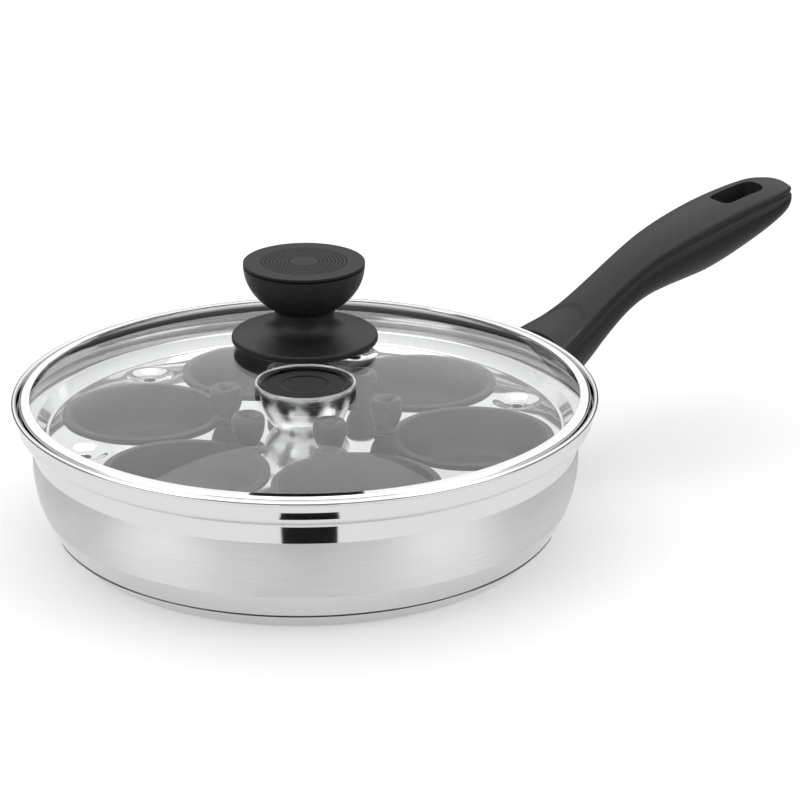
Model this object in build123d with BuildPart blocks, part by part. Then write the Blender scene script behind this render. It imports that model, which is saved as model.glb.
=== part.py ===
from build123d import *
import math
import os

os.makedirs("parts", exist_ok=True)

# All lengths are millimetres. The origin is the middle of the base, +Z is up and
# +X runs out along the handle.

# Pan: spun steel sheet, with a stepped lip that carries the tray and the lid
rim_radius = 145.0
rim_height = 74.0
pan_sheet = 0.8
bead_radius = 1.3
lip_flare = 2.4
flare_drop = 6.0
shelf_width = 7.6
shelf_drop = 11.5
neck_drop = 15.0
belly_swell = 0.6
belly_height = 42.0
belly_tuck = 10.6
floor_turn = 11.0
seam_rise = 2.2
neck_round = 2.0
shelf_round = 3.6
flare_round = 2.5

# Base: an aluminium disc under the floor, inside a pressed steel cap
cap_sheet = 0.6
core_thickness = 5.4
core_inset = 9.0
foot_inset = 7.5
foot_round = 2.6

# Fits between pieces
seat_gap = 0.3
wall_gap = 0.5
lid_gap = 0.6
step_gap = 1.2
slip_gap = 0.25
thread_gap = 0.05
glass_gap = 0.1
overrun = 10.0

# Egg tray: one steel pressing with six holes for the cups
cup_rim_drop = 18.7
tray_sheet = 0.7
tray_step_lean = 5.0
tray_round = 3.0
tray_wall_round = 2.6
tray_bead_radius = 0.9
cup_count = 6
cup_angle = 360 / cup_count
cup_margin = 3.9
cup_spacing = 2.6
cup_turn = 14.3
vent_margin = 4.3
vent_radius = 3.0
dimple_radius = 12.0
dimple_depth = 2.6
dimple_floor_radius = 5.5

# Egg cups: aluminium, each with a lug that points to the middle of the tray
cup_sheet = 1.2
cup_rim_width = 2.5
cup_draft = 7.0
cup_depth = 22.0
cup_round = 9.0
lug_step = 2.5
lug_radius = 8.0
cup_screw_radius = 1.5

# Cup grips: moulded, each held down by a screw from above
grip_height = 16.0
grip_head_radius = 8.2
grip_neck_radius = 5.0
grip_foot_radius = 5.9
grip_crown_radius = 6.4
grip_bulge = 0.85
grip_neck_share = 0.10
grip_shoulder_share = 0.75
grip_groove = 0.5
dish_radius = 3.6
dish_depth = 1.6
cup_screw_head_radius = 2.7
cup_screw_head_height = 1.8
cup_screw_head_drop = 4.0

# Cross recess in every screw's head, as shares of the head's radius and height
recess_reach_share = 0.65
recess_width_share = 0.22
recess_depth_share = 0.50

# Tray knob: a spun steel bowl with a moulded insert in its mouth
finger_gap = 7.6
bowl_neck_step = 2.2
bowl_waist_step = 3.6
bowl_foot_share = 0.7
bowl_lip = 1.0
bowl_sheet = 1.0
bowl_top_rise = 3.2
bowl_band = 2.8
insert_thickness = 1.8
insert_recess = 0.8
insert_dish = 0.9
boss_radius = 5.0
boss_bore_depth = 10.0
tray_screw_radius = 2.0
tray_screw_head_radius = 4.0
tray_screw_head_height = 2.2

# The insert's rings: share of its radius, and share of the dish's depth
insert_ring_shares = [(0.88, 0.0), (0.80, 1.0), (0.50, 1.0), (0.46, 1.3)]

# Lid: domed glass in a rolled steel band
dome_rise = 25.0
glass_thickness = 3.6
glass_round = 1.4
glass_bore_radius = 5.0
band_width = 5.2
band_rise = 0.7
band_sheet = 0.5
band_round = 1.8
band_flats = 4

# Lid knob: moulded, with a disc on top and a threaded insert inside
flange_radius = 36.0
flange_gap = 1.3
flange_edge = 3.5
flange_round = 1.2
flange_cone_radius = 22.0
flange_cone_rise = 2.6
knob_radius = 29.8
knob_rise = 67.0
knob_neck_radius = 14.8
knob_neck_rise = 40.5
knob_neck_round = 2.5
knob_bowl_depth = 25.6
disc_edge = 1.4
disc_groove = 0.6
spigot_radius = 26.0
spigot_depth = 2.5
sleeve_radius = 4.5
sleeve_height = 16.0
knob_screw_radius = 2.5
knob_screw_head_radius = 5.0
knob_screw_head_height = 2.6
gasket_radius = 11.0
washer_radius = 10.0
washer_sheet = 1.0
seal_thickness = 1.2

# Handle: moulded, wrapped round the wall at its root, with a socket for the bracket's tongue
handle_wrap = 3.6
handle_length = 175.7
handle_rise = 57.5
handle_half_width = 17.4
handle_depth = 29.5
handle_crown = 3.0
rim_clearance = 0.6
hang_slot_length = 28.0
hang_slot_width = 16.5
hang_slot_round = 5.0
hang_slot_inset = 33.3

# Bracket: steel plate welded to the wall, with a tongue up into the handle
plate_thickness = 2.0
plate_half_width = 15.0
plate_drop = 2.5
plate_height = 13.5
tongue_drop = 6.0
tongue_width = 14.0
tongue_thickness = 7.0
tongue_length = 34.0
tongue_tilt = 27.0
handle_screw_radius = 2.5
handle_screw_head_radius = 4.5
handle_screw_head_height = 3.0
handle_screw_place = 22.0
handle_screw_sink = 4.0

# Rows down the handle: share of its length, of its rise, of its half width and of its depth
handle_row_shares = [
    (0.000, -0.160, 1.50, 0.945),
    (0.035, -0.097, 1.33, 0.965),
    (0.090, -0.012, 1.14, 0.990),
    (0.150, 0.070, 0.955, 1.005),
    (0.205, 0.165, 0.840, 0.990),
    (0.260, 0.272, 0.782, 0.900),
    (0.320, 0.382, 0.759, 0.805),
    (0.375, 0.478, 0.748, 0.763),
    (0.435, 0.566, 0.800, 0.787),
    (0.500, 0.655, 0.920, 0.858),
    (0.570, 0.735, 0.965, 0.930),
    (0.645, 0.812, 0.990, 0.993),
    (0.715, 0.868, 1.000, 0.973),
    (0.790, 0.922, 0.995, 0.885),
    (0.865, 0.964, 0.937, 0.760),
    (0.915, 0.986, 0.890, 0.661),
    (0.955, 0.998, 0.770, 0.570),
    (0.975, 0.984, 0.550, 0.450),
    (0.988, 0.965, 0.330, 0.330),
    (1.000, 0.942, 0.120, 0.250),
]
side_bulge_share = 1.08
side_middle_share = 0.42
corner_share = 0.80

# Sizes of the pan worked out from the ones above
lip_radius = rim_radius - lip_flare
neck_radius = lip_radius - shelf_width
belly_radius = neck_radius + belly_swell
seam_radius = belly_radius - belly_tuck
floor_radius = seam_radius - floor_turn
floor_height = cap_sheet + core_thickness
seam_height = floor_height + seam_rise
neck_height = rim_height - neck_drop
shelf_rise = neck_drop - shelf_drop
shelf_lean = math.atan2(shelf_rise, shelf_width)
up_axis = Axis.Z

# The lid's band lies in the pan's lip, and the glass in the band
band_top = rim_height + band_rise
band_radius = lip_radius - pan_sheet - lid_gap
band_inner = band_radius - band_width
glass_radius = band_radius - band_sheet - glass_gap
dome_top = rim_height + dome_rise
dome_fall = dome_top - (band_top - band_sheet - glass_gap)
dome_curve = (band_inner**2 + dome_fall**2) / (2 * dome_fall)
under_curve = dome_curve - glass_thickness


def dome_height(radius, curve):
    """Height, at a distance from the middle, of a dome of this curve about the glass's centre."""
    return dome_top - dome_curve + math.sqrt(curve**2 - radius**2)


band_under = dome_height(glass_radius, under_curve) - glass_gap - band_sheet
glass_under = dome_top - glass_thickness

# The tray lies on the pan's shelf, and the lid on the tray's bead
tray_seat = pan_sheet + seat_gap
tray_bead_height = band_under - seat_gap - tray_bead_radius
tray_wall_radius = lip_radius - pan_sheet - wall_gap - tray_bead_radius + tray_sheet / 2
tray_step_radius = neck_radius - pan_sheet - step_gap
tray_top = rim_height - cup_rim_drop - cup_sheet - seat_gap
tray_under = tray_top - tray_sheet
tray_flat_radius = tray_step_radius - tray_step_lean
vent_ring_radius = tray_flat_radius - vent_margin - dimple_radius
lug_top = tray_top + seat_gap + cup_sheet

# The cups fill the tray's flat in a ring, and their grips leave room for fingers round the bowl
cup_share = math.sin(math.radians(cup_angle / 2))
cup_ring_radius = (tray_flat_radius - cup_margin + cup_spacing / 2) / (1 + cup_share)
cup_rim_radius = cup_ring_radius * cup_share - cup_spacing / 2
cup_mouth_radius = cup_rim_radius - cup_rim_width
lug_reach = cup_rim_radius + lug_step
grip_ring_radius = cup_ring_radius - lug_reach
bowl_radius = grip_ring_radius - grip_head_radius - finger_gap
bowl_neck_radius = bowl_radius - bowl_neck_step
bowl_waist_radius = bowl_radius - bowl_waist_step
bowl_foot_radius = bowl_waist_radius * bowl_foot_share


def upright(middle, height, turn):
    """A vertical plane over a point, its first axis level and turned about the vertical."""
    level = Vector(1, 0, 0).rotate(up_axis, turn)
    return Plane(origin=(middle.X, middle.Y, height), x_dir=level, z_dir=level.cross(up_axis.direction))


def finish(piece, name):
    """Label a finished piece and write its STEP file."""
    piece.part.label = name
    export_step(piece.part, "parts/" + name + ".step")


def recess(head_radius):
    """The cross of a screw's recess, drawn in the open sketch."""
    long_side = 2 * head_radius * recess_reach_share
    short_side = 2 * head_radius * recess_width_share
    Rectangle(long_side, short_side)
    Rectangle(short_side, long_side)


def ring(outside, inside):
    """A flat ring, drawn in the open sketch."""
    Circle(outside)
    Circle(inside, mode=Mode.SUBTRACT)


def shelf_height(radius, away):
    """Height at a radius of the line parallel to the pan's shelf, a distance above it."""
    return neck_height + (radius - neck_radius) * math.tan(shelf_lean) + away / math.cos(shelf_lean)


def pan_profile(inset):
    """Half the pan's section from the middle of the floor up to the bead, moved in by inset."""
    floor = Line((0, floor_height + inset), (floor_radius, floor_height + inset))
    foot = (seam_radius - inset, seam_height + inset / 2)
    belly = (belly_radius - inset, belly_height)
    TangentArc(floor @ 1, foot, tangent=(1, 0))
    TangentArc(belly, foot, tangent=(0, -1))
    lip = FilletPolyline(
        belly,
        (neck_radius - inset, shelf_height(neck_radius - inset, inset)),
        (lip_radius - inset, shelf_height(lip_radius - inset, inset)),
        (lip_radius - inset, rim_height - flare_drop),
        (rim_radius - bead_radius - inset / 2, rim_height - bead_radius),
        radius=[neck_round + inset, shelf_round - inset, flare_round + inset],
    )
    Polyline(lip @ 1, (0, rim_height - bead_radius), floor @ 0)


# The whole space that the pan's outside encloses, used to fit what is fixed to the wall
with BuildPart() as pan_outside:
    with BuildSketch(Plane.XZ):
        with BuildLine():
            pan_profile(0)
        make_face()
    revolve(axis=up_axis)

# Pan body: the sheet between the outer and the inner profile, with a rolled bead at its rim
with BuildPart() as pan_body:
    add(pan_outside.part)
    with BuildSketch(Plane.XZ):
        with BuildLine():
            pan_profile(pan_sheet)
        make_face()
    revolve(axis=up_axis, mode=Mode.SUBTRACT)
    with BuildSketch(Plane.XZ):
        with Locations((rim_radius - bead_radius, rim_height - bead_radius)):
            Circle(bead_radius)
    revolve(axis=up_axis)
finish(pan_body, "pan_body")

# Base core: the aluminium disc that spreads the heat
with BuildPart() as base_core:
    with BuildSketch(Plane.XY.offset(cap_sheet)):
        Circle(seam_radius - core_inset)
    extrude(amount=core_thickness)
finish(base_core, "base_core")


def cap_profile(inset):
    """Half the base cap's section, moved in by inset, closed along the seam."""
    side = FilletPolyline(
        (0, inset),
        (seam_radius - foot_inset, inset),
        (seam_radius + cap_sheet - inset, seam_height),
        radius=foot_round,
    )
    Polyline(side @ 1, (0, seam_height), side @ 0)


# Base cap: pressed steel, closed over the core and against the body at the seam
with BuildPart() as base_cap:
    with BuildSketch(Plane.XZ):
        with BuildLine():
            cap_profile(0)
        make_face()
    revolve(axis=up_axis)
    with BuildSketch(Plane.XZ):
        with BuildLine():
            cap_profile(cap_sheet)
        make_face()
    revolve(axis=up_axis, mode=Mode.SUBTRACT)
finish(base_cap, "base_cap")

# Bracket: a plate against the wall and a tongue that rises out of it
plate_bottom = neck_height - plate_drop - plate_height
tilt = math.radians(tongue_tilt)
tongue_plane = Plane(
    origin=(belly_radius, 0, neck_height - plate_drop - tongue_drop),
    x_dir=(math.cos(tilt), 0, math.sin(tilt)),
    z_dir=(-math.sin(tilt), 0, math.cos(tilt)),
)
with BuildPart() as handle_bracket:
    with BuildSketch(Plane.XY.offset(plate_bottom)):
        Circle(belly_radius + plate_thickness)
    extrude(amount=plate_height)
    with BuildSketch(Plane.XY.offset(plate_bottom)):
        with Locations((belly_radius, 0)):
            Rectangle(belly_radius, 2 * plate_half_width)
    extrude(amount=plate_height, mode=Mode.INTERSECT)
    with BuildSketch(tongue_plane.offset(-tongue_thickness / 2)):
        with Locations((tongue_length / 2, 0)):
            Rectangle(tongue_length, tongue_width)
    extrude(amount=tongue_thickness)
    add(pan_outside.part, mode=Mode.SUBTRACT)
    with Locations(tongue_plane.offset(tongue_thickness / 2)):
        with Locations((handle_screw_place, 0)):
            Hole(handle_screw_radius + thread_gap, depth=tongue_thickness)
finish(handle_bracket, "handle_bracket")

# Handle screw: up through the underside of the handle into the tongue
screw_seat = tongue_plane.offset(-tongue_thickness / 2 - handle_screw_sink)
screw_spot = (handle_screw_place, 0)
with BuildPart() as handle_screw:
    with BuildSketch(screw_seat):
        with Locations(screw_spot):
            Circle(handle_screw_radius)
    extrude(amount=handle_screw_sink + tongue_thickness)
    with BuildSketch(screw_seat):
        with Locations(screw_spot):
            Circle(handle_screw_head_radius)
    extrude(amount=-handle_screw_head_height)
    with BuildSketch(screw_seat.offset(-handle_screw_head_height)):
        with Locations(screw_spot):
            recess(handle_screw_head_radius)
    extrude(amount=handle_screw_head_height * recess_depth_share, mode=Mode.SUBTRACT)
finish(handle_screw, "handle_screw")

# Handle: rows lofted from the root to the tip, flat and crowned on top, deep and round below
handle_root = belly_radius - handle_wrap
handle_top = rim_height + handle_rise + overrun
root_radius = belly_radius + plate_thickness + slip_gap
with BuildPart() as handle_grip:
    for along, lift, width, deep in handle_row_shares:
        crest = rim_height + lift * handle_rise
        half = width * handle_half_width
        depth = deep * handle_depth
        crown = handle_crown * width
        corner = (half * corner_share, crest - depth * corner_share)
        middle = (half * side_bulge_share, crest - depth * side_middle_share)
        with BuildSketch(Plane.YZ.offset(handle_root + along * handle_length)):
            with BuildLine():
                ThreePointArc((-half, crest), (0, crest + crown), (half, crest))
                ThreePointArc((half, crest), middle, corner)
                ThreePointArc(corner, (0, crest - depth), (-corner[0], corner[1]))
                ThreePointArc((-corner[0], corner[1]), (-middle[0], middle[1]), (-half, crest))
            make_face()
    loft()
    with BuildSketch(Plane.XZ):
        with BuildLine():
            Polyline(
                (0, 0),
                (root_radius, 0),
                (root_radius, neck_height - wall_gap),
                (rim_radius + rim_clearance, neck_height - wall_gap),
                (rim_radius + rim_clearance, handle_top),
                (0, handle_top),
                close=True,
            )
        make_face()
    revolve(axis=up_axis, mode=Mode.SUBTRACT)
    with BuildSketch(tongue_plane.offset(-tongue_thickness / 2 - slip_gap)):
        with Locations(((tongue_length + slip_gap) / 2, 0)):
            Rectangle(tongue_length + slip_gap, tongue_width + 2 * slip_gap)
    extrude(amount=tongue_thickness + 2 * slip_gap, mode=Mode.SUBTRACT)
    with BuildSketch(screw_seat):
        with Locations(screw_spot):
            Circle(handle_screw_radius + slip_gap)
    extrude(amount=handle_screw_sink, mode=Mode.SUBTRACT)
    with BuildSketch(screw_seat):
        with Locations(screw_spot):
            Circle(handle_screw_head_radius + slip_gap)
    extrude(amount=-handle_depth, mode=Mode.SUBTRACT)
    with BuildSketch(Plane.XY):
        with Locations((handle_root + handle_length - hang_slot_inset, 0)):
            RectangleRounded(hang_slot_length, hang_slot_width, hang_slot_round)
    extrude(amount=handle_top, mode=Mode.SUBTRACT)
finish(handle_grip, "handle_grip")

# Tray: follows the inside of the lip with a gap, then drops to the flat that holds the cups
def tray_profile(inset):
    """Half the tray's section, its outside moved in by inset, closed over the top."""
    step = tray_step_radius - inset
    wall = tray_wall_radius - inset
    shape = FilletPolyline(
        (0, tray_under + inset),
        (tray_flat_radius - inset / 2, tray_under + inset),
        (step, shelf_height(step, tray_seat + inset)),
        (wall, shelf_height(wall, tray_seat + inset)),
        (wall, tray_bead_height),
        radius=[tray_round - inset, neck_round + inset, tray_wall_round - inset],
    )
    Polyline(shape @ 1, (0, tray_bead_height), shape @ 0)


with BuildPart() as egg_tray:
    with BuildSketch(Plane.XZ):
        with BuildLine():
            tray_profile(0)
        make_face()
    revolve(axis=up_axis)
    with BuildSketch(Plane.XZ):
        with BuildLine():
            tray_profile(tray_sheet)
        make_face()
    revolve(axis=up_axis, mode=Mode.SUBTRACT)
    with BuildSketch(Plane.XZ):
        with Locations((tray_wall_radius - tray_sheet / 2, tray_bead_height)):
            Circle(tray_bead_radius)
    revolve(axis=up_axis)
    with BuildSketch(Plane.XY.offset(tray_under)):
        with PolarLocations(cup_ring_radius, cup_count, start_angle=cup_turn):
            Circle(cup_mouth_radius + wall_gap)
        with PolarLocations(vent_ring_radius, cup_count, start_angle=cup_turn + cup_angle / 2):
            Circle(dimple_radius)
        Circle(tray_screw_radius + thread_gap)
    extrude(amount=tray_sheet, mode=Mode.SUBTRACT)
    for n in range(cup_count):
        turn = cup_turn + cup_angle * n + cup_angle / 2
        vent = Vector(vent_ring_radius, 0, 0).rotate(up_axis, turn)
        with BuildSketch(upright(vent, tray_under, turn)):
            with BuildLine():
                Polyline(
                    (vent_radius, -dimple_depth),
                    (dimple_floor_radius, -dimple_depth),
                    (dimple_radius + tray_sheet, 0),
                    (dimple_radius + tray_sheet, tray_sheet),
                    (dimple_radius, tray_sheet),
                    (dimple_floor_radius, tray_sheet - dimple_depth),
                    (vent_radius, tray_sheet - dimple_depth),
                    close=True,
                )
            make_face()
        revolve(axis=Axis(vent, up_axis.direction))
finish(egg_tray, "egg_tray")

# Tray knob: a steel bowl with an upright band that stands out round its mouth
bowl_top = rim_height + bowl_top_rise
bowl_band_height = bowl_top - bowl_band
bowl_neck_height = bowl_band_height - bowl_lip
bowl_middle = (tray_top + bowl_neck_height) / 2


def bowl_profile(inset):
    """Half the tray knob's section, moved in by inset, closed across its mouth."""
    foot = (bowl_foot_radius, tray_top + inset)
    neck = (bowl_neck_radius - inset, bowl_neck_height)
    mouth = (bowl_radius - inset, bowl_band_height)
    Line((0, tray_top + inset), foot)
    ThreePointArc(foot, (bowl_waist_radius - inset, bowl_middle), neck)
    Polyline(neck, mouth, (mouth[0], bowl_top), (0, bowl_top), (0, tray_top + inset))


with BuildPart() as tray_knob:
    with BuildSketch(Plane.XZ):
        with BuildLine():
            bowl_profile(0)
        make_face()
    revolve(axis=up_axis)
    with BuildSketch(Plane.XZ):
        with BuildLine():
            bowl_profile(bowl_sheet)
        make_face()
    revolve(axis=up_axis, mode=Mode.SUBTRACT)
    with BuildSketch(Plane.XY.offset(tray_top)):
        Circle(tray_screw_radius + thread_gap)
    extrude(amount=bowl_sheet, mode=Mode.SUBTRACT)
    fillet(tray_knob.edges().group_by(Axis.Z)[-1], radius=bowl_sheet / 3)
finish(tray_knob, "tray_knob")

# Insert: a dished disc in the bowl's mouth, on a boss that stands on the bowl's floor
boss_foot = tray_top + bowl_sheet
insert_top = bowl_top - insert_recess
insert_under = insert_top - insert_thickness
insert_edge = bowl_radius - bowl_sheet - slip_gap
insert_rings = [
    (insert_edge * out_share, insert_top - insert_dish * dish_share)
    for out_share, dish_share in insert_ring_shares
]
with BuildPart() as tray_knob_insert:
    with BuildSketch(Plane.XZ):
        with BuildLine():
            Polyline(
                (0, boss_foot),
                (boss_radius, boss_foot),
                (boss_radius, insert_under),
                (insert_edge, insert_under),
                (insert_edge, insert_top),
                *insert_rings,
                (0, insert_rings[-1][1]),
                close=True,
            )
        make_face()
    revolve(axis=up_axis)
    with BuildSketch(Plane.XY.offset(boss_foot)):
        Circle(tray_screw_radius + thread_gap)
    extrude(amount=boss_bore_depth, mode=Mode.SUBTRACT)
finish(tray_knob_insert, "tray_knob_insert")

# Tray knob screw: from under the tray, through the bowl's floor into the boss
with BuildPart() as tray_knob_screw:
    with BuildSketch(Plane.XY.offset(tray_under - tray_screw_head_height)):
        Circle(tray_screw_head_radius)
    extrude(amount=tray_screw_head_height)
    with BuildSketch(Plane.XY.offset(tray_under)):
        Circle(tray_screw_radius)
    extrude(amount=tray_sheet + bowl_sheet + boss_bore_depth - slip_gap)
    with BuildSketch(Plane.XY.offset(tray_under - tray_screw_head_height)):
        recess(tray_screw_head_radius)
    extrude(amount=tray_screw_head_height * recess_depth_share, mode=Mode.SUBTRACT)
finish(tray_knob_screw, "tray_knob_screw")


def cup_profile(inset):
    """Half a cup's section below its rim, moved in by inset, closed across its mouth."""
    top = seat_gap + cup_sheet
    bottom = top - cup_depth + inset
    side = FilletPolyline(
        (0, bottom),
        (cup_mouth_radius - cup_draft - inset, bottom),
        (cup_mouth_radius - inset, top),
        radius=cup_round,
    )
    Polyline(side @ 1, (0, top), side @ 0)


def grip_profile():
    """Half a cup grip's section, from the lug up to the dished top, with two rings round its head."""
    foot = seat_gap + cup_sheet
    top = foot + grip_height
    neck = foot + grip_height * grip_neck_share
    shoulder = foot + grip_height * grip_shoulder_share
    brow = top - dish_depth
    bore = cup_screw_radius + slip_gap
    sink = cup_screw_head_radius + slip_gap
    screw_seat = top - cup_screw_head_drop - cup_screw_head_height
    foot_mean = (grip_foot_radius + grip_neck_radius) / 2
    head_mean = (grip_neck_radius + grip_head_radius) / 2
    groove_radius = grip_head_radius - grip_groove
    crown_mean = (groove_radius + grip_crown_radius) / 2
    Line((bore, foot), (grip_foot_radius, foot))
    ThreePointArc(
        (grip_foot_radius, foot),
        (foot_mean - grip_groove / 2, (foot + neck) / 2),
        (grip_neck_radius, neck),
    )
    ThreePointArc(
        (grip_neck_radius, neck),
        (head_mean + grip_bulge, (neck + shoulder) / 2),
        (grip_head_radius, shoulder),
    )
    Polyline(
        (grip_head_radius, shoulder),
        (groove_radius, shoulder + grip_groove),
        (grip_head_radius, shoulder + 2 * grip_groove),
        (grip_head_radius, brow - 2 * grip_groove),
        (groove_radius, brow - grip_groove),
        (groove_radius, brow),
    )
    ThreePointArc(
        (groove_radius, brow),
        (crown_mean + grip_groove / 2, top - dish_depth / 4),
        (grip_crown_radius, top),
    )
    Polyline(
        (grip_crown_radius, top),
        (dish_radius, top),
        (sink, brow),
        (sink, screw_seat),
        (bore, screw_seat),
        (bore, foot),
    )


# Cups, grips and their screws, one set for each hole in the tray
head_under = lug_top + grip_height - cup_screw_head_drop - cup_screw_head_height
for n in range(cup_count):
    turn = cup_turn + cup_angle * n
    outward = Vector(1, 0, 0).rotate(up_axis, turn)
    cup_middle = outward * cup_ring_radius
    grip_middle = outward * grip_ring_radius
    cup_plane = Plane(origin=cup_middle, x_dir=-outward)
    grip_plane = Plane(origin=grip_middle)
    number = str(n + 1)

    with BuildPart() as egg_cup:
        with BuildSketch(cup_plane.offset(tray_top + seat_gap)):
            Circle(cup_rim_radius)
            with Locations((lug_reach / 2, 0)):
                Rectangle(lug_reach, 2 * lug_radius)
            with Locations((lug_reach, 0)):
                Circle(lug_radius)
                Circle(cup_screw_radius + thread_gap, mode=Mode.SUBTRACT)
        extrude(amount=cup_sheet)
        with BuildSketch(upright(cup_middle, tray_top, turn)):
            with BuildLine():
                cup_profile(0)
            make_face()
        revolve(axis=Axis(cup_middle, up_axis.direction))
        with BuildSketch(upright(cup_middle, tray_top, turn)):
            with BuildLine():
                cup_profile(cup_sheet)
            make_face()
        revolve(axis=Axis(cup_middle, up_axis.direction), mode=Mode.SUBTRACT)
    finish(egg_cup, "egg_cup_" + number)

    with BuildPart() as cup_grip:
        with BuildSketch(upright(grip_middle, tray_top, turn)):
            with BuildLine():
                grip_profile()
            make_face()
        revolve(axis=Axis(grip_middle, up_axis.direction))
    finish(cup_grip, "cup_grip_" + number)

    with BuildPart() as cup_screw:
        with BuildSketch(grip_plane.offset(tray_top + seat_gap)):
            Circle(cup_screw_radius)
        extrude(amount=head_under - tray_top - seat_gap)
        with BuildSketch(grip_plane.offset(head_under)):
            Circle(cup_screw_head_radius)
        extrude(amount=cup_screw_head_height)
        with BuildSketch(grip_plane.offset(head_under + cup_screw_head_height)):
            recess(cup_screw_head_radius)
        extrude(amount=-cup_screw_head_height * recess_depth_share, mode=Mode.SUBTRACT)
    finish(cup_screw, "cup_screw_" + number)

# Lid glass: a shallow dome of even thickness with a rounded edge and a hole for the knob's screw
half_out = glass_radius / 2
with BuildPart() as lid_glass:
    with BuildSketch(Plane.XZ):
        with BuildLine():
            over = ThreePointArc(
                (0, dome_top),
                (half_out, dome_height(half_out, dome_curve)),
                (glass_radius, dome_height(glass_radius, dome_curve)),
            )
            below = ThreePointArc(
                (0, glass_under),
                (half_out, dome_height(half_out, under_curve)),
                (glass_radius, dome_height(glass_radius, under_curve)),
            )
            Line(over @ 1, below @ 1)
            Line(over @ 0, below @ 0)
        make_face()
    revolve(axis=up_axis)
    rim_edges = lid_glass.edges().filter_by(GeomType.CIRCLE)
    fillet(rim_edges, radius=glass_round)
    with BuildSketch(Plane.XY.offset(glass_under - overrun)):
        Circle(glass_bore_radius)
    extrude(amount=glass_thickness + 2 * overrun, mode=Mode.SUBTRACT)
finish(lid_glass, "lid_glass")


def band_profile(inset):
    """The rim band's section, moved in by inset, its two round corners each a row of short flats."""
    turn = band_round - inset
    leans = [math.radians(90 * n / band_flats) for n in range(band_flats + 1)]
    middle = band_radius - band_round
    upper = [(middle + turn * math.sin(a), band_top - band_round + turn * math.cos(a)) for a in leans]
    lower = [(middle + turn * math.cos(a), band_under + band_round - turn * math.sin(a)) for a in leans]
    Polyline((band_inner, band_top - inset), *upper, *lower, (band_inner, band_under + inset))


# Rim band: a rolled steel channel round the edge of the glass, open towards the middle
with BuildPart() as lid_rim_band:
    with BuildSketch(Plane.XZ):
        with BuildLine():
            band_profile(0)
            band_profile(band_sheet)
            Line((band_inner, band_top), (band_inner, band_top - band_sheet))
            Line((band_inner, band_under), (band_inner, band_under + band_sheet))
        make_face()
    revolve(axis=up_axis)
finish(lid_rim_band, "lid_rim_band")

# Knob: flange, waisted neck and bowl in one moulding, with a recess on top for the disc
flange_under = dome_top + flange_gap
flange_top = flange_under + flange_edge
neck_top = rim_height + knob_neck_rise
knob_top = rim_height + knob_rise
disc_under = knob_top - disc_edge
bowl_rim = disc_under - disc_groove
bowl_low = math.acos(knob_neck_radius / knob_radius)
bowl_high = math.asin((disc_under - bowl_rim) / knob_bowl_depth)
with BuildPart() as lid_knob:
    neck = (knob_neck_radius, neck_top)
    bowl_foot = (knob_neck_radius, disc_under - knob_bowl_depth * math.sin(bowl_low))
    cone = (flange_cone_radius, flange_top + flange_cone_rise)
    with BuildSketch(Plane.XZ) as knob_outline:
        with BuildLine():
            Polyline(
                (0, flange_under),
                (flange_radius - flange_round, flange_under),
                (flange_radius, flange_under + flange_round),
                (flange_radius, flange_top - flange_round),
                (flange_radius - flange_round, flange_top),
                cone,
            )
            TangentArc(neck, cone, tangent=(0, -1))
            Line(neck, bowl_foot)
            bowl_line = EllipticalCenterArc(
                (0, disc_under),
                knob_radius,
                knob_bowl_depth,
                start_angle=-math.degrees(bowl_low),
                arc_size=math.degrees(bowl_low - bowl_high),
            )
            Polyline(bowl_line @ 1, (0, bowl_rim), (0, flange_under))
        make_face()
        corner = knob_outline.vertices().sort_by_distance(bowl_foot)[0]
        fillet(corner, radius=knob_neck_round)
    revolve(axis=up_axis)
    with BuildSketch(Plane.XY.offset(bowl_rim)):
        Circle(spigot_radius + slip_gap)
    extrude(amount=-spigot_depth - slip_gap, mode=Mode.SUBTRACT)
    with BuildSketch(Plane.XY.offset(flange_under)):
        Circle(sleeve_radius)
    extrude(amount=sleeve_height, mode=Mode.SUBTRACT)
finish(lid_knob, "lid_knob")

# Knob disc: the flat top, with a spigot that plugs the bowl
with BuildPart() as knob_disc:
    with BuildSketch(Plane.XY.offset(disc_under)):
        Circle(knob_radius)
    extrude(amount=disc_edge)
    fillet(knob_disc.edges().group_by(Axis.Z)[-1], radius=disc_edge / 3)
    with BuildSketch(Plane.XY.offset(disc_under)):
        Circle(spigot_radius)
    extrude(amount=-spigot_depth - disc_groove)
finish(knob_disc, "knob_disc")

# Knob insert: a threaded brass sleeve moulded into the neck of the knob
with BuildPart() as knob_insert:
    with BuildSketch(Plane.XY.offset(flange_under)):
        ring(sleeve_radius, knob_screw_radius + thread_gap)
    extrude(amount=sleeve_height)
finish(knob_insert, "knob_insert")

# Gasket: a silicone ring between the knob's flange and the glass
gasket_low = dome_height(gasket_radius, dome_curve)
with BuildPart() as knob_gasket:
    with BuildSketch(Plane.XY.offset(gasket_low)):
        ring(gasket_radius, knob_screw_radius + slip_gap)
    extrude(amount=flange_under - gasket_low)
    add(lid_glass.part, mode=Mode.SUBTRACT)
finish(knob_gasket, "knob_gasket")

# Under the glass: a silicone seal, a steel washer and the screw up into the insert
seal_low = glass_under - seal_thickness
washer_low = seal_low - washer_sheet
with BuildPart() as knob_seal:
    with BuildSketch(Plane.XY.offset(seal_low)):
        ring(washer_radius, knob_screw_radius + slip_gap)
    extrude(amount=seal_thickness)
    add(lid_glass.part, mode=Mode.SUBTRACT)
finish(knob_seal, "knob_seal")

with BuildPart() as knob_washer:
    with BuildSketch(Plane.XY.offset(washer_low)):
        ring(washer_radius, knob_screw_radius + slip_gap)
    extrude(amount=washer_sheet)
finish(knob_washer, "knob_washer")

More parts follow.
